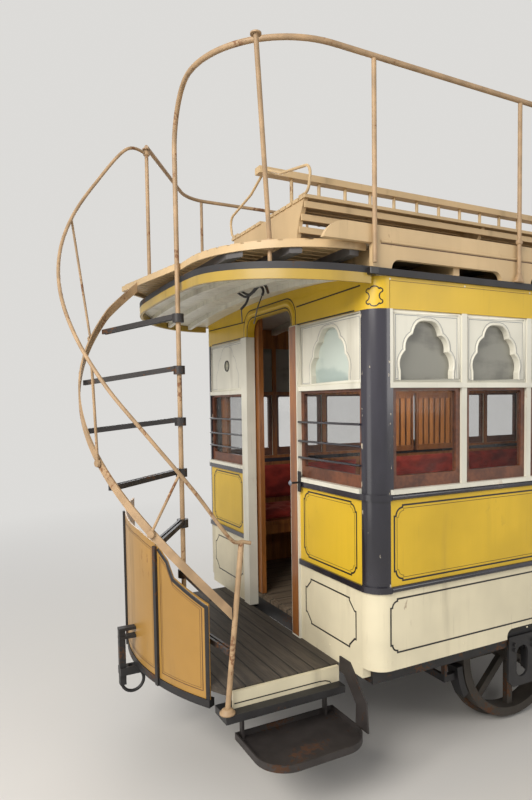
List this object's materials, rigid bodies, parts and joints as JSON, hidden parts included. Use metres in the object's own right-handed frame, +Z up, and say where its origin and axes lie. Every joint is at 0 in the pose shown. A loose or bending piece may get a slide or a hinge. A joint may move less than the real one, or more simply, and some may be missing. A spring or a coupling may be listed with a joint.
{
  "type": "double-deck horse tram",
  "caption": "Double-deck horse tram with a closed saloon, spiral stairs at both ends and an open top deck with a bench along the middle",
  "frame": {"origin": "centre of the plan, at the bottom of the wheel flanges", "axes": "+X along the tram from end a to end b, +Y to the left of +X, +Z up"},
  "size_m": [6.4896, 2.157, 3.5004],
  "materials": {
    "iron_black": "black painted iron with rust at the edges",
    "iron_rusted": "bare iron with brown rust",
    "floor_boards": "weathered grey-brown planks",
    "paint_cream": "satin cream paint on wood",
    "paint_ochre": "faded ochre paint on sheet",
    "paint_yellow": "gloss yellow paint on wood",
    "paint_black": "gloss blue-black paint on wood",
    "paint_white": "satin white paint on wood",
    "paint_tan": "tan paint worn through to rust",
    "wood_mahogany": "varnished mahogany",
    "wood_varnished": "varnished orange-brown boards",
    "plush_red": "dark red plush",
    "glass_clear": "clear window glass",
    "glass_frosted": "frosted grey-green glass"
  },
  "bodies": {
    "tram": {"axle_guards": "iron_black", "bench_backs": "paint_tan", "bench_ends": "paint_cream", "bench_slats": "paint_tan", "canopies": "paint_white", "canopy_fascias": "paint_yellow", "corner_posts": "paint_black", "dash_irons": "iron_black", "dashes": "paint_ochre", "deck_bearers": "paint_cream", "deck_floor": "floor_boards", "draw_gear": "iron_black", "fanlight_glass": "glass_frosted", "fanlights": "paint_white", "guard_rails": "paint_tan", "handrails": "paint_tan", "landing_edges": "paint_cream", "landings": "floor_boards", "letterboards": "paint_yellow", "platform_edges": "paint_cream", "platforms": "floor_boards", "rail_posts": "paint_tan", "rocker_panels": "paint_cream", "roof": "paint_white", "roof_bead": "paint_black", "saloon_benches": "wood_varnished", "saloon_floor": "floor_boards", "sashes": "wood_mahogany", "seat_cushions": "plush_red", "side_boards": "paint_cream", "side_rails": "paint_black", "springs": "iron_black", "steps": "iron_black", "stringers": "paint_tan", "treads": "iron_black", "underframe": "iron_black", "waist_panels": "paint_yellow", "window_framing": "paint_white", "window_glass": "glass_clear", "window_guards": "iron_black"},
    "door_a": {"door_leaf_a": "wood_varnished", "door_glass_a": "glass_clear"},
    "door_b": {"door_leaf_b": "wood_varnished", "door_glass_b": "glass_clear"},
    "wheelset_a": {"wheelset_a": "iron_rusted"},
    "wheelset_b": {"wheelset_b": "iron_rusted"}
  },
  "joints": [
    {"name": "wheelset_a_spin", "type": "hinge", "parent": "tram", "child": "wheelset_a", "pos_m": [-0.73, 0, 0.445], "axis": [0, 1, 0], "continuous": true},
    {"name": "wheelset_b_spin", "type": "hinge", "parent": "tram", "child": "wheelset_b", "pos_m": [0.73, 0, 0.445], "axis": [0, 1, 0], "continuous": true},
    {"name": "door_a_slide", "type": "slide", "parent": "tram", "child": "door_a", "axis": [0, -1, 0], "range_m": [0, 0.56]},
    {"name": "door_b_slide", "type": "slide", "parent": "tram", "child": "door_b", "axis": [0, 1, 0], "range_m": [0, 0.56]}
  ]
}
